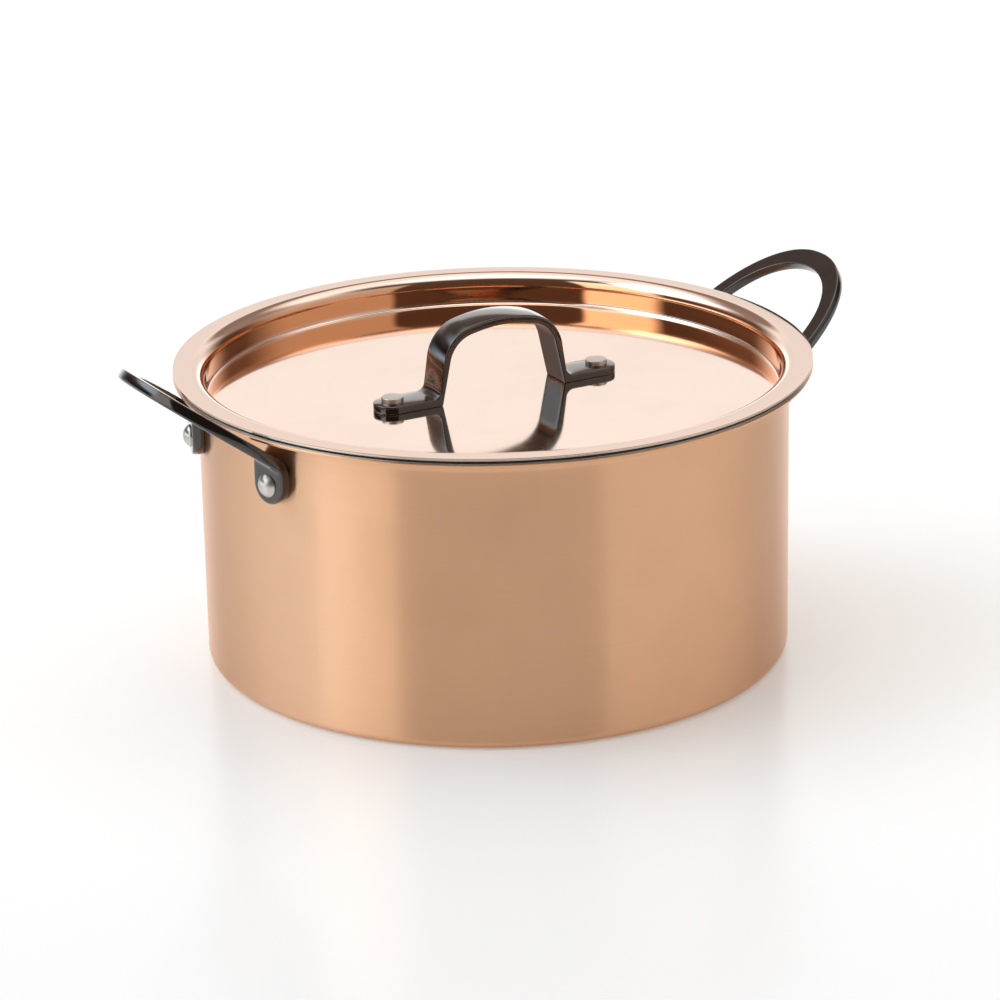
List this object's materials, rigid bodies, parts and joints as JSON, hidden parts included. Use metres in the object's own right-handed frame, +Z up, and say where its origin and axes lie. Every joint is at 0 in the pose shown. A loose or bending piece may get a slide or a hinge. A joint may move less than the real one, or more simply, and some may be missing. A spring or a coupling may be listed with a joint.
{
  "type": "casserole pan",
  "caption": "Low round copper casserole with a flared rim, looped cast side handles on riveted feet, and a recessed lift-off copper lid with a riveted strap handle.",
  "frame": {"origin": "centre of the flat base, on the surface the pot stands on", "axes": "+Z up out of the pot; the two side handles lie along X; +X towards the right handle"},
  "size_m": [0.3276, 0.265, 0.1458],
  "materials": {
    "copper_satin": "satin-brushed copper, brushed round the wall",
    "copper_polished": "polished copper, finely brushed in circles on the flange",
    "steel_lining": "fine brushed stainless steel",
    "cast_handle": "smooth dark polished casting",
    "rivet_steel": "bright satin steel"
  },
  "bodies": {
    "pot": {"pot_copper_shell": "copper_satin", "pot_steel_lining": "steel_lining", "left_handle": "cast_handle", "right_handle": "cast_handle", "left_handle_front_rivet": "rivet_steel", "left_handle_rear_rivet": "rivet_steel", "right_handle_front_rivet": "rivet_steel", "right_handle_rear_rivet": "rivet_steel"},
    "lid": {"lid_copper_skin": "copper_polished", "lid_steel_lining": "steel_lining", "lid_handle": "cast_handle", "lid_handle_left_rivet": "rivet_steel", "lid_handle_right_rivet": "rivet_steel"}
  },
  "joints": [
    {"name": "lid_lift", "type": "slide", "parent": "pot", "child": "lid", "axis": [0, 0, 1], "range_m": [0, 0.15]}
  ]
}
